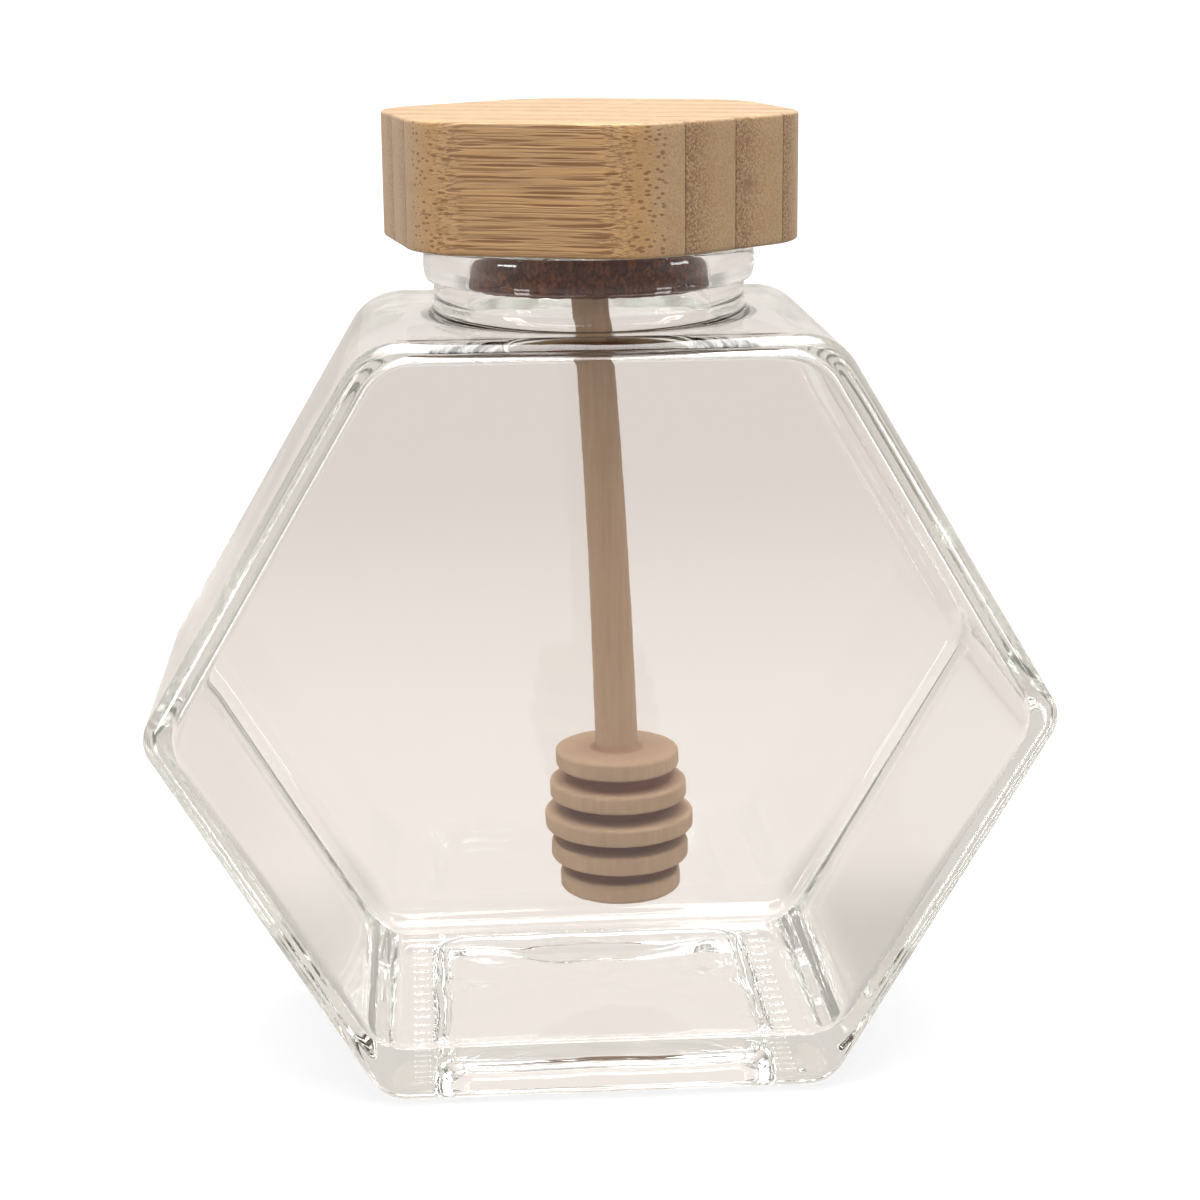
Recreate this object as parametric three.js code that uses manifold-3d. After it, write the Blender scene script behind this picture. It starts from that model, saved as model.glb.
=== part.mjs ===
// A hexagonal glass honey jar with a bamboo lid, a cork stopper and a turned honey dipper.
// Millimetres, +Z up, with the origin on the surface that the jar stands on, under its centre.
// The jar's hexagon lies in the XZ plane, and its depth runs along Y, with the front at -Y.
import * as THREE from "three";
import { mergeVertices } from "three/addons/utils/BufferGeometryUtils.js";
import Module from "manifold-3d";

const wasm = await Module();
wasm.setup();

// Jar body: a hexagonal prism that stands on one of its flats
const BODY_HEIGHT = 99.6;
const BODY_DEPTH = 52;
const HALF_WIDTH = 58.6; // to the sharp side corners
const HALF_FLAT = 29; // to the sharp ends of the upper and lower flats
const SIDE_CORNER_RADIUS = 4.6;
const TOP_CORNER_RADIUS = 8;
const BOTTOM_CORNER_RADIUS = 5.5;
const EDGE_ROUND = 2.8; // along the edges of the front and back panels

// Jar cavity
const SIDE_WALL = 2.8;
const PANEL_WALL = 3; // front and back
const FLOOR = 7.2;
const CEILING = 2.6;
const CAVITY_CORNER_RADIUS = 7;
const CAVITY_EDGE_ROUND = 4;

// Push-up under the base
const PUSH_UP_HALF_WIDTH = 22.6;
const PUSH_UP_HALF_DEPTH = 20.6;
const PUSH_UP_CORNER_RADIUS = 6;
const PUSH_UP_RISE = 4;
const PUSH_UP_SLOPE = 3; // how far its sides lean in over the rise

// Neck and its finish
const NECK_RADIUS = 20.1;
const NECK_FILLET = 1.8; // where the neck meets the shoulder
const BORE_RADIUS = 15.9;
const BORE_FLARE = 3; // radius of the flare into the cavity
const BEAD_RADIUS = 21.4;
const BEAD_HEIGHT = 4.6;
const BEAD_CENTRE_Z = 106.3;
const RIM_Z = 109.2;
const RIM_RADIUS = 19.6;
const RIM_ROUND = 0.9;

// Lid, a hexagonal bamboo block
const LID_CORNER = 29.1; // from its axis to a sharp corner
const LID_CORNER_RADIUS = 12;
const LID_THICKNESS = 16;
const LID_EDGE_ROUND = 0.4;
const LID_TURN_DEG = -19.7;

// Cork stopper under the lid
const CORK_RADIUS = 15.6;
const CORK_DEPTH = 6.2;
const CORK_CHAMFER = 0.5;

// Honey dipper, turned in one piece, whose thin stick bows a little to one side
const HEAD_TOP_X = 3.1;
const HEAD_TOP_Z = 40.4;
const HEAD_LEAN_DEG = 1.5; // its foot is towards +X
const STICK_BEND_RADIUS = 1300;
const STICK_STEPS = 8;
const STICK_IN_CORK = 5;
const STICK_TOP_RADIUS = 2.4;
const STICK_FOOT_RADIUS = 2.95;
const SOCKET_CLEARANCE = 0.3;
const RING_RADII = [8.4, 9.35, 10.15, 9.4, 8.25]; // from the top ring down
const RING_THICKNESS = 2.65;
const GROOVE_WIDTH = 1.65;
const GROOVE_RADIUS = 5.6;
const RING_ROUND = 0.7;

const ARC_STEPS = 3; // a sixth of a turn on an outline has twice as many segments
const LATHE_STEPS = 48;
const EDGE_STEPS = 4;
const MID_Z = BODY_HEIGHT / 2;
const LID_UNDERSIDE_Z = RIM_Z;
const CORK_FOOT_Z = LID_UNDERSIDE_Z - CORK_DEPTH;
const WALL_SLOPE = (HALF_WIDTH - HALF_FLAT) / MID_Z;
const HEAD_LEAN = THREE.MathUtils.degToRad(HEAD_LEAN_DEG);
const STICK_LENGTH = CORK_FOOT_Z + STICK_IN_CORK - HEAD_TOP_Z;

const bamboo = new THREE.MeshStandardMaterial({ color: 0xc9a577, roughness: 0.6, metalness: 0 });
const cork = new THREE.MeshStandardMaterial({ color: 0x6b4532, roughness: 0.9, metalness: 0 });
const paleWood = new THREE.MeshStandardMaterial({ color: 0xb39a82, roughness: 0.75, metalness: 0 });
const clearGlass = new THREE.MeshStandardMaterial({
  color: 0xe6efea,
  roughness: 0.03,
  metalness: 0,
  transparent: true,
  opacity: 0.35,
});

// A closed solid from a geometry whose faces already enclose it.
function solidFrom(geometry) {
  const bare = geometry.index ? geometry.toNonIndexed() : geometry.clone();
  bare.deleteAttribute("normal");
  bare.deleteAttribute("uv");
  const merged = mergeVertices(bare, 1e-4);
  return new wasm.Manifold(
    new wasm.Mesh({
      numProp: 3,
      vertProperties: new Float32Array(merged.attributes.position.array),
      triVerts: new Uint32Array(merged.index.array),
    }),
  );
}

function geometryFrom(solid) {
  const mesh = solid.getMesh();
  const geometry = new THREE.BufferGeometry();
  geometry.setAttribute("position", new THREE.BufferAttribute(mesh.vertProperties, 3));
  geometry.setIndex(new THREE.BufferAttribute(mesh.triVerts, 1));
  geometry.computeVertexNormals();
  return geometry;
}

// A closed outline through the corners, counter-clockwise, each rounded by its own radius.
function roundedOutline(corners, radii) {
  const outline = new THREE.Shape();
  corners.forEach((corner, i) => {
    const before = corners[(i + corners.length - 1) % corners.length];
    const after = corners[(i + 1) % corners.length];
    const incoming = corner.clone().sub(before).normalize();
    const outgoing = after.clone().sub(corner).normalize();
    const turn = Math.acos(incoming.dot(outgoing));
    const reach = radii[i] * Math.tan(turn / 2);
    const start = corner.clone().addScaledVector(incoming, -reach);
    const centre = start.clone().add(new THREE.Vector2(-incoming.y, incoming.x).multiplyScalar(radii[i]));
    const startAngle = Math.atan2(start.y - centre.y, start.x - centre.x);
    if (i === 0) outline.moveTo(start.x, start.y);
    else outline.lineTo(start.x, start.y);
    outline.absarc(centre.x, centre.y, radii[i], startAngle, startAngle + turn, false);
  });
  outline.closePath();
  return outline;
}

// An outline pushed out over a length, centred, with both ends rounded inwards.
function roundedBlock(outline, length, round) {
  const geometry = new THREE.ExtrudeGeometry(outline, {
    depth: length - 2 * round,
    curveSegments: ARC_STEPS,
    bevelEnabled: true,
    bevelThickness: round,
    bevelSize: round,
    bevelOffset: -round,
    bevelSegments: EDGE_STEPS,
  });
  return geometry.translate(0, 0, round - length / 2);
}

// Half the width of the jar's hexagon at a height, with its slanted walls moved in by an inset.
function halfWidthAt(z, inset) {
  return HALF_WIDTH - Math.abs(z - MID_Z) * WALL_SLOPE - inset * Math.hypot(1, WALL_SLOPE);
}

// The hexagon between two heights, from its right side corner and counter-clockwise.
function hexagonOutline(bottom, top, inset, sideRadius, topRadius, bottomRadius) {
  const levels = [
    [halfWidthAt(MID_Z, inset), MID_Z],
    [halfWidthAt(top, inset), top],
    [-halfWidthAt(top, inset), top],
    [-halfWidthAt(MID_Z, inset), MID_Z],
    [-halfWidthAt(bottom, inset), bottom],
    [halfWidthAt(bottom, inset), bottom],
  ];
  const corners = levels.map(([x, z]) => new THREE.Vector2(x, z));
  return roundedOutline(corners, [
    sideRadius,
    topRadius,
    topRadius,
    sideRadius,
    bottomRadius,
    bottomRadius,
  ]);
}

// A prism over the hexagon, turned so that its length runs along Y and the outline's y is up.
function hexagonPrism(outline, depth, round) {
  return solidFrom(roundedBlock(outline, depth, round).rotateX(Math.PI / 2));
}

function bodySolid() {
  const outline = hexagonOutline(
    0,
    BODY_HEIGHT,
    0,
    SIDE_CORNER_RADIUS,
    TOP_CORNER_RADIUS,
    BOTTOM_CORNER_RADIUS,
  );
  return hexagonPrism(outline, BODY_DEPTH, EDGE_ROUND);
}

function cavitySolid() {
  const outline = hexagonOutline(
    FLOOR,
    BODY_HEIGHT - CEILING,
    SIDE_WALL,
    CAVITY_CORNER_RADIUS,
    CAVITY_CORNER_RADIUS,
    CAVITY_CORNER_RADIUS,
  );
  return hexagonPrism(outline, BODY_DEPTH - 2 * PANEL_WALL, CAVITY_EDGE_ROUND);
}

function lathe(profile) {
  const points = profile.map(([r, z]) => new THREE.Vector2(r, z));
  return new THREE.LatheGeometry(points, LATHE_STEPS).rotateX(Math.PI / 2);
}

// Points of an arc in the profile plane, from one angle to another in degrees.
function arc(r, z, radius, fromDeg, toDeg, steps) {
  return Array.from({ length: steps + 1 }, (_, i) => {
    const angle = THREE.MathUtils.degToRad(THREE.MathUtils.lerp(fromDeg, toDeg, i / steps));
    return [r + radius * Math.cos(angle), z + radius * Math.sin(angle)];
  });
}

// The neck with its bead and rim, down into the ceiling of the jar.
function neckSolid() {
  const foot = BODY_HEIGHT - CEILING / 2;
  const beadStretch = BEAD_HEIGHT / 2;
  const beadRise = BEAD_RADIUS - NECK_RADIUS;
  const bead = arc(0, 0, 1, -90, 70, 8).map(([out, up]) => [
    NECK_RADIUS + beadRise * out,
    BEAD_CENTRE_Z + beadStretch * up,
  ]);
  const profile = [
    [0, foot],
    [NECK_RADIUS + NECK_FILLET, foot],
    ...arc(NECK_RADIUS + NECK_FILLET, BODY_HEIGHT + NECK_FILLET, NECK_FILLET, -90, -180, 4),
    ...bead,
    ...arc(RIM_RADIUS - RIM_ROUND, RIM_Z - RIM_ROUND, RIM_ROUND, 20, 90, 3),
    [0, RIM_Z],
  ];
  return solidFrom(lathe(profile));
}

// What the bore takes out: a cylinder through the neck that flares into the cavity.
function boreSolid() {
  const ceiling = BODY_HEIGHT - CEILING;
  const profile = [
    [0, ceiling - 1],
    [BORE_RADIUS + BORE_FLARE, ceiling - 1],
    ...arc(BORE_RADIUS + BORE_FLARE, ceiling + BORE_FLARE, BORE_FLARE, -90, -180, 5),
    ...arc(BORE_RADIUS + RIM_ROUND, RIM_Z - RIM_ROUND, RIM_ROUND, 180, 90, 3),
    [BORE_RADIUS + RIM_ROUND, RIM_Z + 1],
    [0, RIM_Z + 1],
  ];
  return solidFrom(lathe(profile));
}

// What the push-up takes out of the base: a rounded rectangle whose sides lean in as they rise.
function pushUpSolid() {
  const corners = [
    [PUSH_UP_HALF_WIDTH, PUSH_UP_HALF_DEPTH],
    [-PUSH_UP_HALF_WIDTH, PUSH_UP_HALF_DEPTH],
    [-PUSH_UP_HALF_WIDTH, -PUSH_UP_HALF_DEPTH],
    [PUSH_UP_HALF_WIDTH, -PUSH_UP_HALF_DEPTH],
  ].map(([x, y]) => new THREE.Vector2(x, y));
  const outline = roundedOutline(corners, corners.map(() => PUSH_UP_CORNER_RADIUS));
  const geometry = new THREE.ExtrudeGeometry(outline, {
    depth: 2 * PUSH_UP_RISE,
    curveSegments: ARC_STEPS,
    bevelEnabled: true,
    bevelThickness: PUSH_UP_RISE,
    bevelSize: PUSH_UP_SLOPE,
    bevelOffset: -PUSH_UP_SLOPE,
    bevelSegments: EDGE_STEPS,
  });
  return solidFrom(geometry.translate(0, 0, -2 * PUSH_UP_RISE));
}

function glassJar() {
  const solid = bodySolid()
    .add(neckSolid())
    .subtract(cavitySolid())
    .subtract(boreSolid())
    .subtract(pushUpSolid());
  const jar = new THREE.Mesh(geometryFrom(solid), clearGlass);
  jar.name = "glass_jar";
  return jar;
}

function bambooLid() {
  const corners = Array.from({ length: 6 }, (_, i) => {
    const angle = (i * Math.PI) / 3;
    return new THREE.Vector2(LID_CORNER * Math.cos(angle), LID_CORNER * Math.sin(angle));
  });
  const outline = roundedOutline(corners, corners.map(() => LID_CORNER_RADIUS));
  const lid = new THREE.Mesh(roundedBlock(outline, LID_THICKNESS, LID_EDGE_ROUND), bamboo);
  lid.name = "bamboo_lid";
  lid.rotation.z = THREE.MathUtils.degToRad(LID_TURN_DEG);
  lid.position.z = LID_UNDERSIDE_Z + LID_THICKNESS / 2;
  return lid;
}

// How far the dipper's axis lies from the top of its head in X, at a height above that.
function axisShift(height) {
  return -Math.tan(HEAD_LEAN) * height - height ** 2 / (2 * STICK_BEND_RADIUS);
}

function axisLean(height) {
  return -Math.atan(Math.tan(HEAD_LEAN) + height / STICK_BEND_RADIUS);
}

// The stopper, with a leaning socket in its foot for the dipper's end.
function corkStopper() {
  const plug = solidFrom(
    lathe([
      [0, 0],
      [CORK_RADIUS - CORK_CHAMFER, 0],
      [CORK_RADIUS, CORK_CHAMFER],
      [CORK_RADIUS, CORK_DEPTH],
      [0, CORK_DEPTH],
    ]),
  );
  const radius = STICK_TOP_RADIUS + SOCKET_CLEARANCE;
  const length = 2 * STICK_IN_CORK;
  const drill = new THREE.CylinderGeometry(radius, radius, length, LATHE_STEPS / 2);
  drill.rotateX(Math.PI / 2);
  drill.translate(0, 0, SOCKET_CLEARANCE - length / 2);
  drill.rotateY(axisLean(STICK_LENGTH));
  drill.translate(HEAD_TOP_X + axisShift(STICK_LENGTH), 0, STICK_IN_CORK);
  const stopper = new THREE.Mesh(geometryFrom(plug.subtract(solidFrom(drill))), cork);
  stopper.name = "cork_stopper";
  stopper.position.z = CORK_FOOT_Z;
  return stopper;
}

// The rings from the lowest up, with the grooves between them.
function headProfile() {
  const pitch = RING_THICKNESS + GROOVE_WIDTH;
  const lowest = RING_RADII.length - 1;
  const profile = [[0, -lowest * pitch - RING_THICKNESS]];
  for (let i = lowest; i >= 0; i -= 1) {
    const top = -i * pitch;
    const bottom = top - RING_THICKNESS;
    const centre = RING_RADII[i] - RING_ROUND;
    if (i < lowest) profile.push([GROOVE_RADIUS, bottom]);
    profile.push(...arc(centre, bottom + RING_ROUND, RING_ROUND, -90, 0, 2));
    profile.push(...arc(centre, top - RING_ROUND, RING_ROUND, 0, 90, 2));
    if (i > 0) profile.push([GROOVE_RADIUS, top]);
  }
  return profile;
}

// The dipper's own origin is the centre of its head's upper face.
function honeyDipper() {
  const stick = Array.from({ length: STICK_STEPS + 1 }, (_, i) => {
    const share = i / STICK_STEPS;
    return [THREE.MathUtils.lerp(STICK_FOOT_RADIUS, STICK_TOP_RADIUS, share), share * STICK_LENGTH];
  });
  const geometry = lathe([...headProfile(), ...stick, [0, STICK_LENGTH]]);
  const position = geometry.attributes.position;
  for (let i = 0; i < position.count; i += 1) {
    position.setX(i, position.getX(i) + axisShift(position.getZ(i)));
  }
  const dipper = new THREE.Mesh(geometry, paleWood);
  dipper.name = "honey_dipper";
  dipper.position.set(HEAD_TOP_X, 0, HEAD_TOP_Z);
  return dipper;
}

const honeyPot = new THREE.Group();
honeyPot.add(glassJar(), bambooLid(), corkStopper(), honeyDipper());

export default honeyPot;
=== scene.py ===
"""A hexagonal glass honey jar with a bamboo lid, a cork stopper and a turned wooden dipper."""

import math

import bmesh
import bpy
import numpy as np
from mathutils import Matrix, Vector, noise


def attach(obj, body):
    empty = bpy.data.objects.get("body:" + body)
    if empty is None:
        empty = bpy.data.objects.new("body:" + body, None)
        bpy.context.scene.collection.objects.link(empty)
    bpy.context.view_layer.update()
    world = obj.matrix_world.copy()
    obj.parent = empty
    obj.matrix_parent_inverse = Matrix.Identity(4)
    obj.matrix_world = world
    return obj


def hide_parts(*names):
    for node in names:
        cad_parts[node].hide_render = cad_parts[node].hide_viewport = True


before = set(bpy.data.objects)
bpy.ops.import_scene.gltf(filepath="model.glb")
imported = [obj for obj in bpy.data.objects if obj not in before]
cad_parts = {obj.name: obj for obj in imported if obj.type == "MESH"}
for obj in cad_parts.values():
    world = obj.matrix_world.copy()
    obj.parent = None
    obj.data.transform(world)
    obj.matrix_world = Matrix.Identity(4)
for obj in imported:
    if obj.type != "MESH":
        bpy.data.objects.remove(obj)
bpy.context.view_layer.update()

MM = 0.001  # lengths below are millimetres, as in the CAD source
OVERCUT = 1  # how far cutting shapes reach past what they cut
SHARP_EDGE_DEG = 35  # the glass shades smoothly over flatter edges than this

# Jar body
BODY_HEIGHT = 99.6
BODY_DEPTH = 52
HALF_WIDTH = 58.6  # to the sharp side corners
HALF_FLAT = 29  # to the sharp ends of the upper and lower flats
SIDE_CORNER_RADIUS = 4.6
TOP_CORNER_RADIUS = 8
BOTTOM_CORNER_RADIUS = 5.5
EDGE_ROUND = 2.8
MID_Z = BODY_HEIGHT / 2
WALL_SLOPE = (HALF_WIDTH - HALF_FLAT) / MID_Z

# Jar cavity
SIDE_WALL = 2.8
PANEL_WALL = 3
FLOOR = 7.2
CEILING = 2.6
CAVITY_CORNER_RADIUS = 7
CAVITY_INSET = 6  # how far in from its outline the panels' finer rings reach
FRONT_ROUNDS = (0.9, 1.3)  # radii of the cavity's edge: on most of it, and at the foot
BACK_ROUNDS = (3, 4)
FOOT_HEIGHTS = (12, 45)  # the foot's radius holds below the first and is gone at the second
CEILING_DOME = 1.0
DOME_HEIGHT = 8  # how far below the ceiling the dome starts

# Push-up and knurled bearing ring under the base
PUSH_UP_HALF_WIDTH = 22.6
PUSH_UP_HALF_DEPTH = 20.6
PUSH_UP_CORNER_RADIUS = 6
PUSH_UP_RISE = 4
PUSH_UP_SLOPE = 3
PUSH_UP_CROWN = 0.9
BEARING_RING_INSET = 3.1  # from the sharp ends of the lower flat to the bearing ring's outside
KNURL_HEIGHT = 0.35
KNURL_WIDTH = 0.9
KNURL_PITCH = 2.6
SIDE_KNURL_LENGTH = 2.3
SIDE_ROW_GAP = 2.4  # from each end of a row of bars to its first one
FRONT_KNURL_LENGTH = 1.6
FRONT_ROW_GAP = 3.2
KNURL_PROFILE = ((0.3, 1), (0, 1), (-0.5, 0.86), (-0.85, 0.55), (-1, 0.2))  # heights and sizes
KNURL_SEGMENTS = 14

# Neck and its finish
NECK_RADIUS = 20.1
NECK_FILLET = 1.8
BORE_RADIUS = 15.9
BORE_FLARE = 3
BEAD_RADIUS = 21.4
BEAD_HEIGHT = 4.6
BEAD_CENTRE_Z = 106.3
BEAD_FLATNESS = 0.35  # 1 makes the bead elliptic, and less makes its face flatter
RIM_Z = 109.2
RIM_RADIUS = 19.6
RIM_ROUND = 0.9
NECK_SEGMENTS = 144

# Lid
LID_CORNER = 29.1
LID_CORNER_RADIUS = 12
LID_THICKNESS = 16
LID_EDGE_ROUND = 0.4
LID_TURN_DEG = -19.7
STRIP_PITCH = 7.65
FIRST_STRIP = 5.53  # what shows of the first strip, behind the face with the long grain
SMUDGE_PLACE = (18.9, -17.6, 117.0)

# Cork stopper
CORK_RADIUS = 15.6
CORK_DEPTH = 6.2
CORK_CHAMFER = 0.5
CORK_SEGMENTS = 160

# Honey dipper
HEAD_TOP_X = 3.1
HEAD_TOP_Z = 40.4
HEAD_LEAN = math.radians(1.5)
STICK_BEND_RADIUS = 1300
STICK_IN_CORK = 5
STICK_LENGTH = RIM_Z - CORK_DEPTH + STICK_IN_CORK - HEAD_TOP_Z
STICK_TOP_RADIUS = 2.4
STICK_FOOT_RADIUS = 2.95
RING_RADII = [8.4, 9.35, 10.15, 9.4, 8.25]
RING_THICKNESS = 2.65
RING_EDGE_ROUND = 0.6
GROOVE_WIDTH = 1.65
GROOVE_RADIUS = 5.6
STICK_FOOT_HEIGHT = 0.35
DIPPER_SEGMENTS = 112

# Waves and roughness of surfaces: depth, length and a seed
BODY_WAVES = (0.05, 26, 3.1)
CAVITY_WAVES = (0.16, 24, 7.7)
PUSH_UP_WAVES = (0.5, 5, 2.3)
CORK_WAVES = (0.35, 0.9, 1.3)
DIPPER_WAVES = (0.12, 1.1, 4.2)

# Colours of the woods and the cork, as sRGB values of 0 to 255
BAMBOO = {
    "outside": (156, 121, 77),
    "inside": (150, 126, 94),
    "cloud": (142, 110, 75),
    "strip": (136, 112, 84),
    "pale fibre": (176, 142, 100),
    "dark fibre": (100, 68, 40),
    "bundle": (98, 62, 36),
    "pore": (104, 72, 46),
    "glue line": (74, 48, 30),
    "stain": (112, 86, 64),
}
CORK = {
    "dark granule": (98, 44, 22),
    "granule": (146, 78, 42),
    "dark speck": (56, 27, 16),
    "pale speck": (180, 118, 76),
    "seam": (58, 30, 20),
}
PALE_WOOD = {
    "dark grain": (160, 130, 101),
    "grain": (190, 160, 130),
    "fleck": (120, 88, 62),
    # painted shade for the grooves and the stick's foot
    "painted_recess_shade": (130, 64, 40),
}

# Glass
GLASS_COLOUR = (0.99, 0.988, 0.986, 1)
GLASS_DEPTH_COLOUR = (0.76, 0.775, 0.745, 1)
GLASS_DEPTH_DENSITY = 16.0

# White floor, and the table whose tone shows only in the glass: a glowing sheet with painted light near
# the jar, painted shade in front and a painted shadow beside the jar; tones here and below are linear
FLOOR_REACH = 20000
FLOOR_ALBEDO = 0.12
FLOOR_GLOW = 0.8
TABLE_LEVEL = -0.02
TABLE_PAINTED_LIGHT_NEAR = (0.92, 0.855, 0.80, 1)
TABLE_FAR = (0.785, 0.72, 0.675, 1)
TABLE_PAINTED_SHADE_FRONT = (0.45, 0.42, 0.39, 1)
TABLE_PAINTED_SHADOW = (0.33, 0.33, 0.30, 1)

# Studio: walls, a light overhead, a window on each side with a darker pane, and a strip light
WALL_BEHIND = (0.86, 0.81, 0.77, 1)
WALL_IN_FRONT = (0.42, 0.40, 0.39, 1)
WALL_BESIDE = (0.37, 0.375, 0.35, 1)
OVERHEAD_LIGHT = 11
WINDOW_LIGHTS = ((-62, 20), (62, 14))  # azimuth from the front, and strength
WINDOW = (20, 0.12, 0.21)  # elevation, half width and half height
WINDOW_SIDE_BLUR = 0.08
WINDOW_END_BLUR = 0.05
PANE = (24, 0.07, 0.19)
PANE_SHADE = 0.8
STRIP_LAMP = (57, 0.75, 0.035)
STRIP_LAMP_LIGHT = 9

# Camera, as fitted to the photo, with its angles in radians
CAMERA_PLACE = (-21.675, -334.384, 145.901)
CAMERA_YAW = 0.0679
CAMERA_PITCH = 0.2493
CAMERA_ROLL = -0.0095
FOCAL_PIXELS = 2583.04
IMAGE_PIXELS = 1200
SENSOR_WIDTH = 36


def unit(vector):
    return vector / np.linalg.norm(vector)


def rounded_outline(corners, radii, arc_steps, straight_step):
    """Points of a closed outline through the corners, counter-clockwise, and its outward normals."""
    corners = [np.array(c, float) for c in corners]
    arcs = []
    for i, corner in enumerate(corners):
        incoming = unit(corner - corners[i - 1])
        outgoing = unit(corners[(i + 1) % len(corners)] - corner)
        turn = math.acos(float(incoming @ outgoing))
        start = corner - incoming * radii[i] * math.tan(turn / 2)
        centre = start + radii[i] * np.array([-incoming[1], incoming[0]])
        first = math.atan2(start[1] - centre[1], start[0] - centre[0])
        angles = first + turn * np.linspace(0, 1, arc_steps + 1)
        normals = np.column_stack([np.cos(angles), np.sin(angles)])
        arcs.append((centre + radii[i] * normals, normals))
    points, outward = [], []
    for (bend, normals), (following, _) in zip(arcs, arcs[1:] + arcs[:1]):
        gap = following[0] - bend[-1]
        count = int(np.linalg.norm(gap) / straight_step)
        shares = np.linspace(0, 1, count + 2)[1:-1, None]
        points += [bend, bend[-1] + shares * gap]
        outward += [normals, np.repeat(normals[-1:], count, axis=0)]
    return np.vstack(points), np.vstack(outward)


def skin(rings):
    """A closed surface through rings of equally many points, with a fan over each end."""
    count = len(rings[0])
    faces = []
    for r in range(len(rings) - 1):
        for i in range(count):
            j = (i + 1) % count
            faces.append((r * count + i, r * count + j, (r + 1) * count + j, (r + 1) * count + i))
    total = len(rings) * count
    last = total - count
    for i in range(count):
        j = (i + 1) % count
        faces.append((j, i, total))
        faces.append((last + i, last + j, total + 1))
    ends = [rings[0].mean(axis=0), rings[-1].mean(axis=0)]
    return np.vstack([*rings, ends]), faces


def prism_rings(outline, normals, half, edge_round, panel_rings, round_steps, side_step):
    """Rings over an outline from one end's centre to the other's, along the third axis."""
    inner = outline - edge_round * normals
    centre = inner.mean(axis=0)

    def ring(points, level):
        return np.column_stack([points, np.full(len(points), level)])

    def end(side):
        rings = [
            ring(centre + (inner - centre) * share, side * half)
            for share in np.linspace(0, 1, panel_rings + 1)[1:]
        ]
        for angle in np.linspace(0, math.pi / 2, round_steps + 1)[1:]:
            inset = edge_round * (1 - math.sin(angle))
            level = side * (half - edge_round + edge_round * math.cos(angle))
            rings.append(ring(outline - inset * normals, level))
        return rings

    reach = half - edge_round
    levels = np.linspace(-reach, reach, int(2 * reach / side_step) + 2)[1:-1]
    side = [ring(outline, level) for level in levels]
    return end(-1) + side + end(1)[::-1]


def lathe_rings(profile, segments):
    """Rings round Z for a profile of (radius, height) points, which leaves out its ends on the axis."""
    angles = np.linspace(0, 2 * math.pi, segments, endpoint=False)
    circle = np.column_stack([np.cos(angles), np.sin(angles)])
    return [np.column_stack([circle * r, np.full(segments, z)]) for r, z in profile]


def arc(r, z, radius, from_deg, to_deg, steps):
    angles = np.radians(np.linspace(from_deg, to_deg, steps + 1))
    return [(r + radius * math.cos(a), z + radius * math.sin(a)) for a in angles]


def upright(vertices):
    """Turns a prism made along Z so that its length runs along Y and its outline's y is up."""
    return vertices[:, [0, 2, 1]]


def make_object(name, vertices, faces):
    mesh = bpy.data.meshes.new(name)
    mesh.from_pydata((np.asarray(vertices) * MM).tolist(), [], faces)
    edit = bmesh.new()
    edit.from_mesh(mesh)
    bmesh.ops.recalc_face_normals(edit, faces=edit.faces)
    edit.to_mesh(mesh)
    edit.free()
    mesh.shade_smooth()
    piece = bpy.data.objects.new(name, mesh)
    bpy.context.scene.collection.objects.link(piece)
    return piece


def combine(piece, other, operation):
    """Applies a boolean of other to piece, and removes other."""
    modifier = piece.modifiers.new(operation, "BOOLEAN")
    modifier.operation = operation
    modifier.solver = "EXACT"
    modifier.object = other
    depsgraph = bpy.context.evaluated_depsgraph_get()
    made = bpy.data.meshes.new_from_object(piece.evaluated_get(depsgraph))
    piece.modifiers.clear()
    piece.data = made
    bpy.data.objects.remove(other)


def mark_sharp(piece, degrees):
    """Smooth shading that breaks at edges steeper than an angle."""
    edit = bmesh.new()
    edit.from_mesh(piece.data)
    bmesh.ops.remove_doubles(edit, verts=edit.verts, dist=1e-7)
    limit = math.radians(degrees)
    for edge in edit.edges:
        edge.smooth = len(edge.link_faces) != 2 or edge.calc_face_angle() < limit
    for face in edit.faces:
        face.smooth = True
    edit.to_mesh(piece.data)
    edit.free()


def waves(vertices, normals_in, depth, length, seed):
    """Pushes vertices along a direction by smooth noise from 0 to depth, with waves of that length."""
    moved = np.array(vertices, float)
    for i, v in enumerate(vertices):
        share = 0.5 + 0.5 * noise.noise(Vector(v / length) + Vector((seed, 0, 0)))
        moved[i] += normals_in[i] * depth * min(max(share, 0), 1)
    return moved


def smooth_normals(vertices, faces):
    """Each vertex's normal, pointing out of the closed surface."""
    mesh = bpy.data.meshes.new("normals")
    mesh.from_pydata(np.asarray(vertices).tolist(), [], faces)
    edit = bmesh.new()
    edit.from_mesh(mesh)
    bmesh.ops.recalc_face_normals(edit, faces=edit.faces)
    edit.to_mesh(mesh)
    edit.free()
    normals = np.zeros(3 * len(vertices), np.float32)
    mesh.vertices.foreach_get("normal", normals)
    bpy.data.meshes.remove(mesh)
    return normals.reshape(-1, 3)


def half_width_at(z, inset):
    return HALF_WIDTH - abs(z - MID_Z) * WALL_SLOPE - inset * math.hypot(1, WALL_SLOPE)


def hexagon(bottom, top, inset, side_radius, top_radius, bottom_radius):
    corners = [
        (half_width_at(MID_Z, inset), MID_Z),
        (half_width_at(top, inset), top),
        (-half_width_at(top, inset), top),
        (-half_width_at(MID_Z, inset), MID_Z),
        (-half_width_at(bottom, inset), bottom),
        (half_width_at(bottom, inset), bottom),
    ]
    radii = [side_radius, top_radius, top_radius, side_radius, bottom_radius, bottom_radius]
    return rounded_outline(corners, radii, arc_steps=10, straight_step=2)


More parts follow.
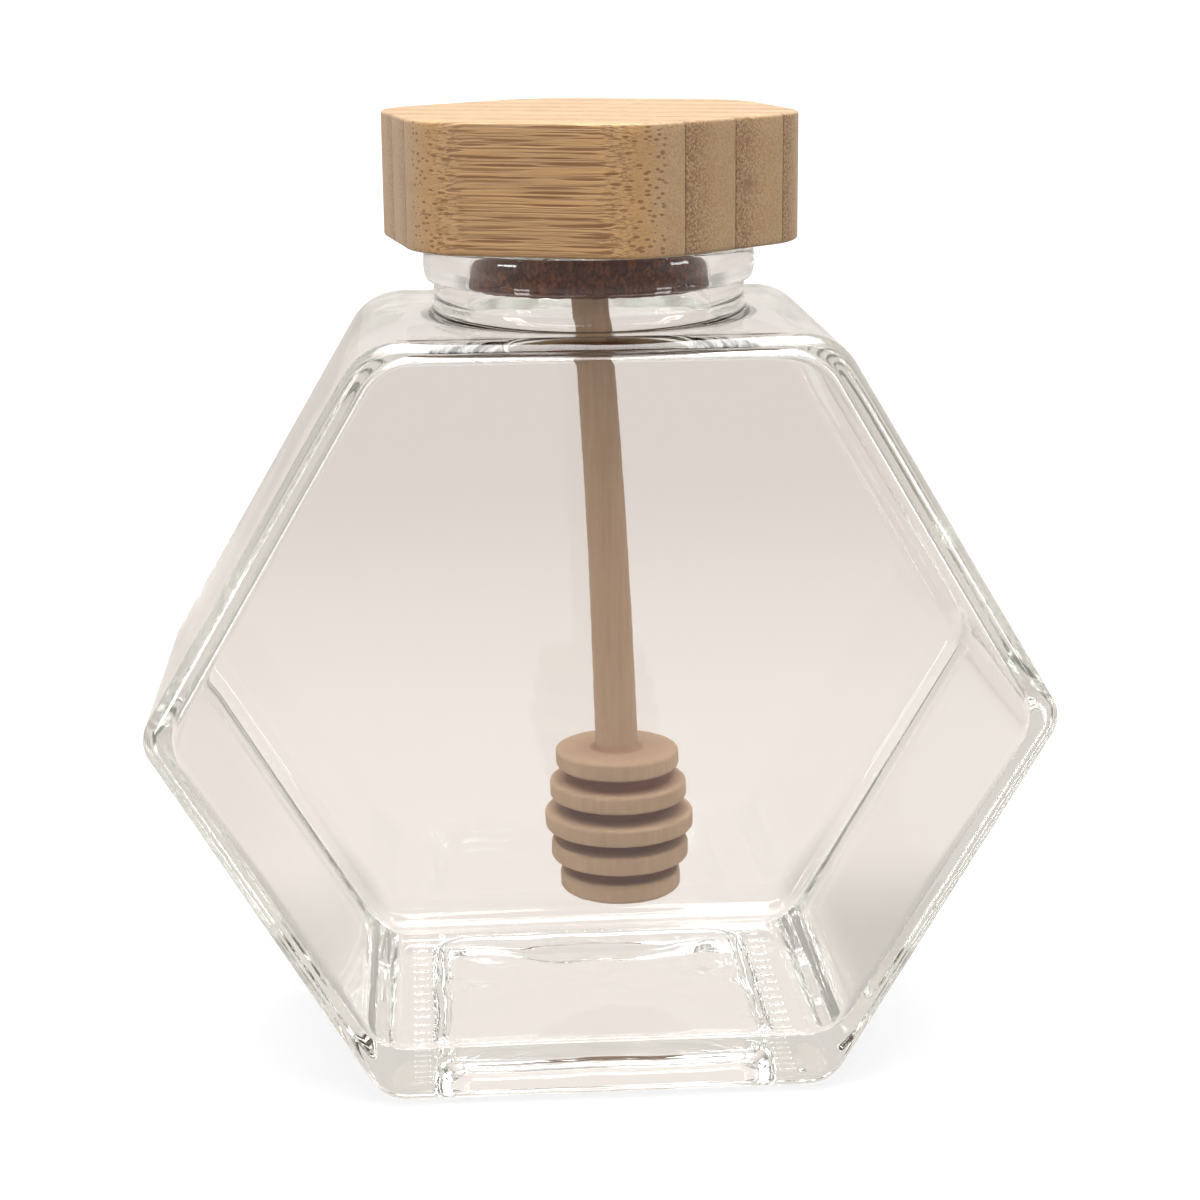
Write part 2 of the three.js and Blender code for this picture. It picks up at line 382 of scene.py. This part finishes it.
def body_piece():
    outline, normals = hexagon(
        KNURL_HEIGHT, BODY_HEIGHT, 0, SIDE_CORNER_RADIUS, TOP_CORNER_RADIUS, BOTTOM_CORNER_RADIUS
    )
    rings = prism_rings(
        outline, normals, BODY_DEPTH / 2, EDGE_ROUND, panel_rings=16, round_steps=10, side_step=2
    )
    vertices, faces = skin(rings)
    vertices = upright(vertices)
    outward = smooth_normals(vertices, faces)
    vertices = waves(vertices, -outward, *BODY_WAVES)
    return make_object("glass", vertices, faces)


def inner_rounds(heights, side):
    """The radius of the cavity's edge at each height: small in front, larger behind and at the foot."""
    low = np.interp(heights, FOOT_HEIGHTS, [1, 0])
    plain, foot = BACK_ROUNDS if side > 0 else FRONT_ROUNDS
    return plain + (foot - plain) * low


def cavity_rings(outline, normals):
    """Rings from the middle of the front to the middle of the back, with an edge round that varies."""
    half = BODY_DEPTH / 2 - PANEL_WALL
    inner = outline - CAVITY_INSET * normals
    centre = inner.mean(axis=0)
    reach = np.abs(((inner - centre) * normals).sum(axis=1))

    def ring(points, distance, side):
        rounds = inner_rounds(outline[:, 1], side)
        short = np.clip(rounds - distance, 0, None)
        level = half - rounds + np.sqrt(rounds**2 - short**2)
        return np.column_stack([points, side * level])

    def end(side):
        rings = []
        for share in np.sin(np.linspace(0, math.pi / 2, 31))[1:]:
            points = centre + (inner - centre) * share
            rings.append(ring(points, CAVITY_INSET + (1 - share) * reach, side))
        for angle in np.linspace(0, math.pi / 2, 17)[1:]:
            distance = CAVITY_INSET * (1 - math.sin(angle))
            rings.append(ring(outline - distance * normals, distance, side))
        return rings

    front, back = end(-1), end(1)
    shares = np.linspace(0, 1, 14)[1:-1]
    side_rings = [front[-1] + (back[-1] - front[-1]) * share for share in shares]
    return front + side_rings + back[::-1]


def cavity_piece():
    ceiling = BODY_HEIGHT - CEILING
    radius = CAVITY_CORNER_RADIUS
    outline, normals = hexagon(FLOOR, ceiling, SIDE_WALL, radius, radius, radius)
    vertices, faces = skin(cavity_rings(outline, normals))
    vertices = upright(vertices)
    outward = smooth_normals(vertices, faces)
    vertices = waves(vertices, outward, *CAVITY_WAVES)
    vertices[:, 2] += ceiling_dome(vertices)
    return make_object("cavity", vertices, faces)


def ceiling_dome(vertices):
    """How far the ceiling of the cavity rises above its front and back edges."""
    ceiling = BODY_HEIGHT - CEILING
    near = np.clip((vertices[:, 2] - ceiling + DOME_HEIGHT) / DOME_HEIGHT, 0, 1)
    across = np.clip(1 - (vertices[:, 1] / (BODY_DEPTH / 2 - PANEL_WALL)) ** 2, 0, 1)
    return CEILING_DOME * near * across


def neck_piece():
    foot = BODY_HEIGHT - CEILING / 2
    rise = BEAD_RADIUS - NECK_RADIUS
    bead = [
        (NECK_RADIUS + rise * max(out, 0) ** BEAD_FLATNESS, BEAD_CENTRE_Z + BEAD_HEIGHT / 2 * up)
        for out, up in arc(0, 0, 1, -90, 70, 20)
    ]
    fillet = arc(NECK_RADIUS + NECK_FILLET, BODY_HEIGHT + NECK_FILLET, NECK_FILLET, -90, -180, 10)
    rim = arc(RIM_RADIUS - RIM_ROUND, RIM_Z - RIM_ROUND, RIM_ROUND, 20, 90, 6)
    profile = [(NECK_RADIUS + NECK_FILLET, foot), *fillet, *bead, *rim]
    return make_object("neck", *skin(lathe_rings(profile, NECK_SEGMENTS)))


def bore_piece():
    ceiling = BODY_HEIGHT - CEILING
    flare = arc(BORE_RADIUS + BORE_FLARE, ceiling + BORE_FLARE, BORE_FLARE, -90, -180, 12)
    lip = arc(BORE_RADIUS + RIM_ROUND, RIM_Z - RIM_ROUND, RIM_ROUND, 180, 90, 6)
    profile = [
        (BORE_RADIUS + BORE_FLARE, ceiling - OVERCUT),
        *flare,
        *lip,
        (BORE_RADIUS + RIM_ROUND, RIM_Z + OVERCUT),
    ]
    return make_object("bore", *skin(lathe_rings(profile, NECK_SEGMENTS)))


def push_up_piece():
    width, depth = PUSH_UP_HALF_WIDTH, PUSH_UP_HALF_DEPTH
    corners = [(width, depth), (-width, depth), (-width, -depth), (width, -depth)]
    radii = [PUSH_UP_CORNER_RADIUS] * 4
    outline, normals = rounded_outline(corners, radii, arc_steps=8, straight_step=2)
    centre = outline.mean(axis=0)
    rings = []
    for share in np.linspace(0, 1, 9)[1:]:
        inner = outline - PUSH_UP_SLOPE * normals
        ring = centre + (inner - centre) * share
        crown = PUSH_UP_CROWN * (1 - share**2)
        rings.append(np.column_stack([ring, np.full(len(ring), PUSH_UP_RISE + crown)]))
    for angle in np.linspace(0, math.pi / 2, 9)[1:]:
        inset = PUSH_UP_SLOPE * (1 - math.sin(angle))
        ring = outline - inset * normals
        rings.append(np.column_stack([ring, np.full(len(ring), PUSH_UP_RISE * math.cos(angle))]))
    rings.append(np.column_stack([outline, np.full(len(outline), -2.0 * OVERCUT)]))
    vertices, faces = skin(rings)
    outward = smooth_normals(vertices, faces)
    return make_object("push_up", waves(vertices, outward, *PUSH_UP_WAVES), faces)


def knurl_places(half, end_gap):
    """Places of a row's bars, from one end of the row to the other."""
    return np.arange(end_gap - half, half - end_gap + 0.1, KNURL_PITCH)


def knurl_bar(x, y, length, across):
    """A rounded bar under the base, centred on (x, y): along X, or across it."""
    angles = np.linspace(0, 2 * math.pi, KNURL_SEGMENTS, endpoint=False)
    oval = np.column_stack([np.cos(angles) * length / 2, np.sin(angles) * KNURL_WIDTH / 2])
    if across:
        oval = oval[:, ::-1]
    rings = []
    for height, share in KNURL_PROFILE:
        level = np.full(len(oval), KNURL_HEIGHT * (1 + height))
        rings.append(np.column_stack([oval * share + [x, y], level]))
    return skin(rings)


def knurl_bars():
    """Short rounded bars round the bearing ring, which the jar stands on."""
    ring_x = (PUSH_UP_HALF_WIDTH + HALF_FLAT - BEARING_RING_INSET) / 2
    ring_y = (PUSH_UP_HALF_DEPTH + BODY_DEPTH / 2 - EDGE_ROUND) / 2
    bars = []
    for y in knurl_places(ring_y, SIDE_ROW_GAP):
        bars += [(x, y, SIDE_KNURL_LENGTH, False) for x in (ring_x, -ring_x)]
    for x in knurl_places(ring_x, FRONT_ROW_GAP):
        bars += [(x, y, FRONT_KNURL_LENGTH, True) for y in (ring_y, -ring_y)]
    vertices, faces = [], []
    for bar in bars:
        made, sides = knurl_bar(*bar)
        faces += [tuple(i + len(vertices) for i in face) for face in sides]
        vertices += made.tolist()
    return make_object("knurls", vertices, faces)


def glass_jar():
    jar = body_piece()
    combine(jar, neck_piece(), "UNION")
    void = cavity_piece()
    combine(void, bore_piece(), "UNION")
    combine(jar, void, "DIFFERENCE")
    combine(jar, push_up_piece(), "DIFFERENCE")
    combine(jar, knurl_bars(), "UNION")
    mark_sharp(jar, SHARP_EDGE_DEG)
    return jar


def bamboo_lid():
    angles = np.arange(6) * math.pi / 3 + math.radians(LID_TURN_DEG)
    corners = LID_CORNER * np.column_stack([np.cos(angles), np.sin(angles)])
    radii = [LID_CORNER_RADIUS] * 6
    outline, normals = rounded_outline(corners, radii, arc_steps=24, straight_step=1)
    rings = prism_rings(
        outline, normals, LID_THICKNESS / 2, LID_EDGE_ROUND, panel_rings=12, round_steps=5, side_step=1
    )
    vertices, faces = skin(rings)
    vertices[:, 2] += RIM_Z + LID_THICKNESS / 2
    return make_object("lid", vertices, faces)


def cork_stopper():
    foot_radius = CORK_RADIUS - CORK_CHAMFER
    profile = [(share * foot_radius, 0) for share in np.linspace(0, 1, 16)[1:]]
    profile += arc(foot_radius, CORK_CHAMFER, CORK_CHAMFER, -90, 0, 4)[1:]
    profile += [(CORK_RADIUS, z) for z in np.linspace(CORK_CHAMFER, CORK_DEPTH, 14)[1:]]
    profile += [(CORK_RADIUS * share, CORK_DEPTH) for share in (0.9, 0.6, 0.3)]
    vertices, faces = skin(lathe_rings(profile, CORK_SEGMENTS))
    inward = -smooth_normals(vertices, faces)
    vertices = waves(vertices, inward, *CORK_WAVES)
    vertices[:, 2] = np.clip(vertices[:, 2], 0, CORK_DEPTH) + RIM_Z - CORK_DEPTH
    return make_object("cork", vertices, faces)


def axis_shift(height):
    return -math.tan(HEAD_LEAN) * height - height**2 / (2 * STICK_BEND_RADIUS)


def dipper_profile():
    """(radius, height over the head's top, how much painted shade it gets in and beside a groove) from the
    foot up.
    """
    pitch = RING_THICKNESS + GROOVE_WIDTH
    lowest = len(RING_RADII) - 1
    edge = RING_EDGE_ROUND
    foot = -lowest * pitch - RING_THICKNESS
    profile = [(share * (RING_RADII[-1] - edge), foot, 0) for share in (0.3, 0.7, 1)]
    for i in range(lowest, -1, -1):
        top = -i * pitch
        bottom = top - RING_THICKNESS
        radius = RING_RADII[i] - edge
        lower = arc(radius, bottom + edge, edge, -90, 0, 7)
        upper = arc(radius, top - edge, edge, 0, 90, 7)
        # the last value is painted shade: full in a groove, and most of it on the ring edges beside it
        if i < lowest:
            profile.append((GROOVE_RADIUS + 0.5, bottom - 0.02, 1))
            profile.append((GROOVE_RADIUS + 1.3, bottom, 0.9))
        profile += [(r, z, 0) for r, z in lower + upper]
        if i > 0:
            profile.append((GROOVE_RADIUS + 1.3, top, 0.8))
            profile.append((GROOVE_RADIUS + 0.5, top + 0.02, 0.9))
            profile += [(GROOVE_RADIUS, top + GROOVE_WIDTH * s, 1) for s in (0.2, 0.5, 0.8)]
    return profile + stick_profile()


def stick_profile():
    """The stick above the head, with painted shade in the crease at its foot."""
    profile = [
        # the last values paint shade in the crease where the stick meets the head
        (STICK_FOOT_RADIUS + 0.9, 0, 0.2),
        (STICK_FOOT_RADIUS + 0.25, 0.08, 0.6),
        (STICK_FOOT_RADIUS, STICK_FOOT_HEIGHT, 0.4),
    ]
    for share in np.linspace(0, 1, 90)[1:]:
        radius = STICK_FOOT_RADIUS + (STICK_TOP_RADIUS - STICK_FOOT_RADIUS) * share
        height = STICK_FOOT_HEIGHT + share * (STICK_LENGTH - STICK_FOOT_HEIGHT)
        profile.append((radius, height, 0))
    return profile


def honey_dipper():
    profile = dipper_profile()
    vertices, faces = skin(lathe_rings([(r, z) for r, z, _ in profile], DIPPER_SEGMENTS))
    inward = -smooth_normals(vertices, faces)
    vertices = waves(vertices, inward, *DIPPER_WAVES)
    vertices[:, 0] += [axis_shift(z) + HEAD_TOP_X for z in vertices[:, 2]]
    vertices[:, 2] += HEAD_TOP_Z
    dipper = make_object("dipper", vertices, faces)
    # how much painted shade each ring of points gets
    depth = np.repeat([d for _, _, d in profile], DIPPER_SEGMENTS).tolist() + [0, 0]
    painted_recess_shade = dipper.data.attributes.new("painted_recess_shade", "FLOAT", "POINT")
    painted_recess_shade.data.foreach_set("value", np.array(depth, np.float32))
    return dipper


def add(tree, kind, inputs=None, **settings):
    """A new node with its settings, and its inputs set or linked."""
    made = tree.nodes.new(kind)
    for key, value in settings.items():
        setattr(made, key, value)
    for key, value in (inputs or {}).items():
        if isinstance(value, bpy.types.NodeSocket):
            tree.links.new(value, made.inputs[key])
        else:
            made.inputs[key].default_value = value
    return made


def calc(tree, operation, a, b=0.0, clamp=False):
    made = add(tree, "ShaderNodeMath", {0: a, 1: b}, operation=operation, use_clamp=clamp)
    return made.outputs[0]


def remap(tree, value, low, high, to_low=0.0, to_high=1.0, smooth=True):
    kind = "SMOOTHSTEP" if smooth else "LINEAR"
    inputs = {0: value, 1: low, 2: high, 3: to_low, 4: to_high}
    return add(tree, "ShaderNodeMapRange", inputs, interpolation_type=kind).outputs[0]


def blend(tree, factor, first, second, kind="MIX"):
    inputs = {0: factor, 6: first, 7: second}
    return add(tree, "ShaderNodeMix", inputs, data_type="RGBA", blend_type=kind).outputs[2]


def mix_number(tree, factor, first, second):
    return add(tree, "ShaderNodeMix", {0: factor, 2: first, 3: second}, data_type="FLOAT").outputs[0]


def dot(tree, vector, direction):
    made = add(tree, "ShaderNodeVectorMath", {0: vector, 1: direction}, operation="DOT_PRODUCT")
    return made.outputs["Value"]


def place_mm(tree):
    """The point in the jar's frame, in millimetres."""
    place = add(tree, "ShaderNodeTexCoord").outputs["Object"]
    made = add(tree, "ShaderNodeVectorMath", {0: place, 3: 1 / MM}, operation="SCALE")
    return made.outputs[0]


def new_material(name):
    material = bpy.data.materials.new(name)
    material.use_nodes = True
    tree = material.node_tree
    return material, tree, tree.nodes["Principled BSDF"]


def colour(red, green, blue):
    """A linear colour from sRGB values of 0 to 255."""
    def linear(c):
        c /= 255
        return c / 12.92 if c <= 0.04045 else ((c + 0.055) / 1.055) ** 2.4
    return (linear(red), linear(green), linear(blue), 1)


def times(tree, value, factor):
    return calc(tree, "MULTIPLY", value, factor)


def paint(tree, base, layers):
    """Lays each colour over what is there, as strongly as its weight says."""
    for weight, tone in layers:
        base = blend(tree, weight, base, colour(*tone))
    return base


def set_inputs(shader, **values):
    for name, value in values.items():
        shader.inputs[name.replace("_", " ")].default_value = value


def add_bump(tree, shader, heights, strength, distance_mm):
    inputs = {"Height": heights, "Strength": strength, "Distance": distance_mm * MM}
    bump = add(tree, "ShaderNodeBump", inputs)
    tree.links.new(bump.outputs[0], shader.inputs["Normal"])


def glass_material():
    material, tree, shader = new_material("clear_glass")
    set_inputs(shader, Base_Color=GLASS_COLOUR, Roughness=0.0, IOR=1.5, Transmission_Weight=1)
    inputs = {"Color": GLASS_DEPTH_COLOUR, "Density": GLASS_DEPTH_DENSITY}
    inside = add(tree, "ShaderNodeVolumeAbsorption", inputs)
    tree.links.new(inside.outputs[0], tree.nodes["Material Output"].inputs["Volume"])
    return material


def bamboo_place(tree, place):
    """The point's depth behind the face with the long grain, its place along that face, and its height."""
    facing = math.radians(LID_TURN_DEG - 90)
    behind = (math.cos(facing), math.sin(facing), 0)
    along = (-math.sin(facing), math.cos(facing), 0)
    apothem = LID_CORNER * math.cos(math.pi / 6)
    depth = calc(tree, "SUBTRACT", apothem, dot(tree, place, behind))
    return depth, dot(tree, place, along), dot(tree, place, (0, 0, 1))


def bamboo_strips(tree, depth):
    """The point's share of its strip's thickness, whether the strip is the first, and the strip's tone."""
    strips = calc(tree, "DIVIDE", calc(tree, "SUBTRACT", depth, FIRST_STRIP), STRIP_PITCH)
    number = calc(tree, "FLOOR", strips)
    first = calc(tree, "LESS_THAN", number, -0.5)
    tone = add(tree, "ShaderNodeTexWhiteNoise", {1: number}, noise_dimensions="1D").outputs[0]
    return calc(tree, "FRACT", strips), first, tone


def bamboo_material():
    """Laminated strips behind one face: bundles of fibres run along it and end in dots at the corners."""
    material, tree, shader = new_material("bamboo")
    place = place_mm(tree)
    depth, length, height = bamboo_place(tree, place)
    share, first, tone = bamboo_strips(tree, depth)

    def grain(stretch, scale, kind, **more):
        inputs = {0: times(tree, length, stretch), 1: depth, 2: height}
        at = add(tree, "ShaderNodeCombineXYZ", inputs).outputs[0]
        return add(tree, kind, {"Vector": at, "Scale": scale, **more}).outputs

    bundle = grain(0.045, 1.75, "ShaderNodeTexVoronoi", Randomness=0.9)["Distance"]
    fibre = grain(0.011, 4.4, "ShaderNodeTexNoise", Detail=3.0, Roughness=0.6)[0]
    pore = grain(0.25, 3.0, "ShaderNodeTexNoise", Detail=2.0, Roughness=0.5)[0]
    cloud = grain(0.04, 0.35, "ShaderNodeTexNoise", Detail=3.0, Roughness=0.55)[0]

    first_bundles = remap(tree, depth, 3.0, 3.9, 1, 0)
    later_bundles = remap(tree, share, 0.06, 0.42, 0.9, 0)
    bundles = mix_number(tree, first, later_bundles, first_bundles)
    dots = times(tree, remap(tree, bundle, 0.4, 0.26), bundles)
    first_fibres = remap(tree, depth, 0.3, 1.6, 1, 0.22)
    later_fibres = remap(tree, share, 0.05, 0.6, 1, 0.3)
    fibres = mix_number(tree, first, later_fibres, first_fibres)
    dark = times(tree, remap(tree, fibre, 0.54, 0.4), fibres)
    pale = times(tree, remap(tree, fibre, 0.52, 0.66), fibres)
    pores = times(tree, remap(tree, pore, 0.53, 0.42), remap(tree, share, 0.15, 0.7, 1, 0.3))
    pores = times(tree, pores, remap(tree, depth, 2.6, 3.6, 0, 1))
    line = remap(tree, share, 0.0, 0.04, 1, 0)
    line = times(tree, line, remap(tree, first, 0, 1, 1, 0, smooth=False))

    inwards = remap(tree, depth, 0.5, 3.5, 0, 1)
    base = blend(tree, inwards, colour(*BAMBOO["outside"]), colour(*BAMBOO["inside"]))
    layers = [
        (remap(tree, cloud, 0.35, 0.65, 0, 0.4), BAMBOO["cloud"]),
        (times(tree, tone, 0.3), BAMBOO["strip"]),
        (times(tree, pale, 0.55), BAMBOO["pale fibre"]),
        (times(tree, dark, 0.62), BAMBOO["dark fibre"]),
        (times(tree, dots, 0.68), BAMBOO["bundle"]),
        (times(tree, pores, 0.7), BAMBOO["pore"]),
        (times(tree, line, 0.8), BAMBOO["glue line"]),
        (smudge(tree, place), BAMBOO["stain"]),
    ]
    tree.links.new(paint(tree, base, layers), shader.inputs["Base Color"])
    set_inputs(shader, IOR=1.45, Roughness=0.38)
    marks = calc(tree, "MAXIMUM", dark, dots)
    add_bump(tree, shader, times(tree, calc(tree, "ADD", marks, line), -1), 0.5, 0.12)
    return material


def smudge(tree, place):
    """A small soft stain on the end grain."""
    apart = add(tree, "ShaderNodeVectorMath", {0: place, 1: SMUDGE_PLACE}, operation="DISTANCE")
    rough = add(tree, "ShaderNodeTexNoise", {"Vector": place, "Scale": 1.3, "Detail": 3.0}).outputs[0]
    distance = calc(tree, "ADD", apart.outputs["Value"], times(tree, rough, 3))
    return remap(tree, distance, 3.6, 1.8, 0, 0.55)


def cork_material():
    """Pressed granules, each of its own reddish brown, with dark seams."""
    material, tree, shader = new_material("cork")
    place = place_mm(tree)
    wobble = add(tree, "ShaderNodeTexNoise", {"Vector": place, "Scale": 1.2, "Detail": 3.0}).outputs[1]
    bent = add(tree, "ShaderNodeVectorMath", {0: place, 1: wobble}, operation="ADD").outputs[0]
    granules = {"Vector": bent, "Scale": 1.1}
    cells = add(tree, "ShaderNodeTexVoronoi", granules).outputs["Color"]
    edges = add(tree, "ShaderNodeTexVoronoi", granules, feature="DISTANCE_TO_EDGE").outputs["Distance"]
    specks = {"Vector": place, "Scale": 2.6, "Detail": 5.0, "Roughness": 0.7}
    fine = add(tree, "ShaderNodeTexNoise", specks).outputs[0]
    tone = add(tree, "ShaderNodeSeparateColor", {0: cells}).outputs[0]
    crack = remap(tree, edges, 0.0, 0.12, 1, 0)
    base = blend(tree, tone, colour(*CORK["dark granule"]), colour(*CORK["granule"]))
    layers = [
        (remap(tree, fine, 0.42, 0.7, 0, 0.7), CORK["dark speck"]),
        (remap(tree, fine, 0.42, 0.3, 0, 0.35), CORK["pale speck"]),
        (times(tree, crack, 0.45), CORK["seam"]),
    ]
    tree.links.new(paint(tree, base, layers), shader.inputs["Base Color"])
    set_inputs(shader, Roughness=0.9, Specular_IOR_Level=0.2)
    add_bump(tree, shader, calc(tree, "SUBTRACT", fine, crack), 0.6, 0.3)
    return material


def dipper_material():
    """Plain turned wood: long soft grain, small flecks, and painted shade in the grooves and at the
    stick's foot.
    """
    material, tree, shader = new_material("pale_wood")
    place = place_mm(tree)
    stretch = {0: place, 1: (1, 1, 0.06)}
    along = add(tree, "ShaderNodeVectorMath", stretch, operation="MULTIPLY").outputs[0]
    lines = {"Vector": along, "Scale": 1.6, "Detail": 5.0, "Roughness": 0.65}
    grain = add(tree, "ShaderNodeTexNoise", lines).outputs[0]
    fleck = add(tree, "ShaderNodeTexNoise", {"Vector": place, "Scale": 4.0, "Detail": 2.0}).outputs[0]
    painted_recess_shade = add(tree, "ShaderNodeAttribute", attribute_name="painted_recess_shade").outputs["Fac"]
    base = blend(tree, grain, colour(*PALE_WOOD["dark grain"]), colour(*PALE_WOOD["grain"]))
    layers = [
        (remap(tree, fleck, 0.6, 0.75, 0, 0.3), PALE_WOOD["fleck"]),
        # painted shade in the grooves and at the stick's foot
        (times(tree, painted_recess_shade, 0.9), PALE_WOOD["painted_recess_shade"]),
    ]
    tree.links.new(paint(tree, base, layers), shader.inputs["Base Color"])
    set_inputs(shader, Roughness=0.75)
    add_bump(tree, shader, grain, 0.4, 0.2)
    return material


def finish_piece(piece, material, node):
    piece.data.materials.clear()
    piece.data.materials.append(material)
    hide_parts(node)
    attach(piece, "root")


def floor_sheet(name, level):
    """A wide level sheet, which only stands round the object."""
    corners = [(-1, -1), (1, -1), (1, 1), (-1, 1)]
    vertices = [(x * FLOOR_REACH, y * FLOOR_REACH, level) for x, y in corners]
    sheet = make_object(name, vertices, [(0, 1, 2, 3)])
    material, tree, shader = new_material(name)
    sheet.data.materials.append(material)
    return sheet, tree, shader


def make_floor():
    """A white floor that only the camera sees, with the jar's shadow on it."""
    floor, _, shader = floor_sheet("floor", 0)
    grey = (FLOOR_ALBEDO, FLOOR_ALBEDO, FLOOR_ALBEDO, 1)
    set_inputs(shader, Base_Color=grey, Specular_IOR_Level=0.0)
    set_inputs(shader, Emission_Color=(1, 1, 1, 1), Emission_Strength=FLOOR_GLOW)
    floor.visible_diffuse = False
    floor.visible_glossy = False
    floor.visible_transmission = False
    floor.visible_shadow = False


def make_table():
    """The table that shows in the glass: a glowing sheet with painted light, paler near the jar, with
    painted shade in front and a painted shadow of the jar close beside it.
    """
    table, tree, shader = floor_sheet("table", TABLE_LEVEL)
    back = dot(tree, place_mm(tree), (0, 1, 0))
    aside = calc(tree, "ABSOLUTE", dot(tree, place_mm(tree), (1, 0, 0)))
    # painted shadow of the jar on the table, to the jar's sides
    painted_shadow = times(tree, remap(tree, aside, 30, 42), remap(tree, aside, 130, 60))
    painted_shadow = times(tree, painted_shadow, remap(tree, calc(tree, "ABSOLUTE", back), 70, 25))
    # painted light: the table glows paler near the jar
    tone = blend(tree, remap(tree, back, 60, 420), TABLE_PAINTED_LIGHT_NEAR, TABLE_FAR)
    # painted shade on the table in front of the jar
    tone = blend(tree, remap(tree, back, -185, -245, 0, 0.5), tone, TABLE_PAINTED_SHADE_FRONT)
    tone = blend(tree, remap(tree, back, -200, -420), tone, TABLE_PAINTED_SHADE_FRONT)
    tone = blend(tree, times(tree, painted_shadow, 0.6), tone, TABLE_PAINTED_SHADOW)
    set_inputs(shader, Base_Color=(0, 0, 0, 1), Specular_IOR_Level=0.0, Emission_Strength=1.0)
    tree.links.new(tone, shader.inputs["Emission Color"])
    table.visible_camera = False


def window(tree, way, azimuth_deg, elevation_deg, half_width, half_height):
    """1 inside a soft-edged rectangle of the sky, with its azimuth from the front and its elevation."""
    azimuth, elevation = math.radians(azimuth_deg), math.radians(elevation_deg)
    level = Vector((math.sin(azimuth), -math.cos(azimuth), 0))
    towards = level * math.cos(elevation) + Vector((0, 0, math.sin(elevation)))
    side = Vector((math.cos(azimuth), math.sin(azimuth), 0))
    above = towards.cross(side)
    across = calc(tree, "ABSOLUTE", dot(tree, way, side))
    rise = calc(tree, "ABSOLUTE", dot(tree, way, above))
    side_blur, end_blur = half_width * WINDOW_SIDE_BLUR, half_height * WINDOW_END_BLUR
    inside = times(
        tree,
        remap(tree, across, half_width + side_blur, half_width - side_blur),
        remap(tree, rise, half_height + end_blur, half_height - end_blur),
    )
    return times(tree, inside, calc(tree, "GREATER_THAN", dot(tree, way, towards), 0))


def studio_light(tree, way):
    """How bright the lamps and windows are in each direction."""
    light = remap(tree, dot(tree, way, (0, 0, 1)), 0.8, 0.92, 0, OVERHEAD_LIGHT)
    for azimuth, strength in WINDOW_LIGHTS:
        pane = times(tree, window(tree, way, azimuth, *PANE), PANE_SHADE)
        shape = calc(tree, "SUBTRACT", window(tree, way, azimuth, *WINDOW), pane, clamp=True)
        light = calc(tree, "ADD", light, times(tree, shape, strength))
    return calc(tree, "ADD", light, times(tree, window(tree, way, 0, *STRIP_LAMP), STRIP_LAMP_LIGHT))


def make_world():
    """A pale studio, darker in front and beside, with its lights."""
    world = bpy.data.worlds.new("studio")
    bpy.context.scene.world = world
    world.use_nodes = True
    tree = world.node_tree
    tree.nodes.clear()
    way = add(tree, "ShaderNodeTexCoord").outputs["Generated"]
    front = dot(tree, way, (0, -1, 0))
    aside = calc(tree, "ABSOLUTE", dot(tree, way, (1, 0, 0)))
    walls = blend(tree, remap(tree, front, -0.2, 0.8), WALL_BEHIND, WALL_IN_FRONT)
    walls = blend(tree, remap(tree, aside, 0.6, 0.85, 0, 0.75), walls, WALL_BESIDE)
    light = studio_light(tree, way)
    lamp = add(tree, "ShaderNodeCombineColor", {0: light, 1: light, 2: light}).outputs[0]
    sky = blend(tree, 1.0, walls, lamp, "ADD")
    shade = add(tree, "ShaderNodeBackground", {"Color": sky, "Strength": 1.0})
    out = add(tree, "ShaderNodeOutputWorld")
    tree.links.new(shade.outputs[0], out.inputs[0])


def make_camera():
    cos, sin = math.cos, math.sin
    forward = Vector(
        (
            sin(CAMERA_YAW) * cos(CAMERA_PITCH),
            cos(CAMERA_YAW) * cos(CAMERA_PITCH),
            -sin(CAMERA_PITCH),
        )
    )
    level = Vector((cos(CAMERA_YAW), -sin(CAMERA_YAW), 0))
    above = level.cross(forward)
    right = cos(CAMERA_ROLL) * level + sin(CAMERA_ROLL) * above
    up = -sin(CAMERA_ROLL) * level + cos(CAMERA_ROLL) * above
    data = bpy.data.cameras.new("camera")
    data.sensor_width = SENSOR_WIDTH
    data.lens = FOCAL_PIXELS / IMAGE_PIXELS * SENSOR_WIDTH
    data.clip_start = 0.01
    camera = bpy.data.objects.new("camera", data)
    turn = Matrix((right, up, -forward)).transposed().to_4x4()
    camera.matrix_world = Matrix.Translation(Vector(CAMERA_PLACE) * MM) @ turn
    bpy.context.scene.collection.objects.link(camera)
    bpy.context.scene.camera = camera


def set_look():
    scene = bpy.context.scene
    scene.view_settings.view_transform = "Standard"
    scene.cycles.max_bounces = 64
    scene.cycles.transmission_bounces = 64
    scene.cycles.glossy_bounces = 64
    scene.cycles.diffuse_bounces = 3


finish_piece(glass_jar(), glass_material(), "glass_jar")
finish_piece(bamboo_lid(), bamboo_material(), "bamboo_lid")
finish_piece(cork_stopper(), cork_material(), "cork_stopper")
finish_piece(honey_dipper(), dipper_material(), "honey_dipper")
make_floor()
make_table()
make_world()
make_camera()
set_look()
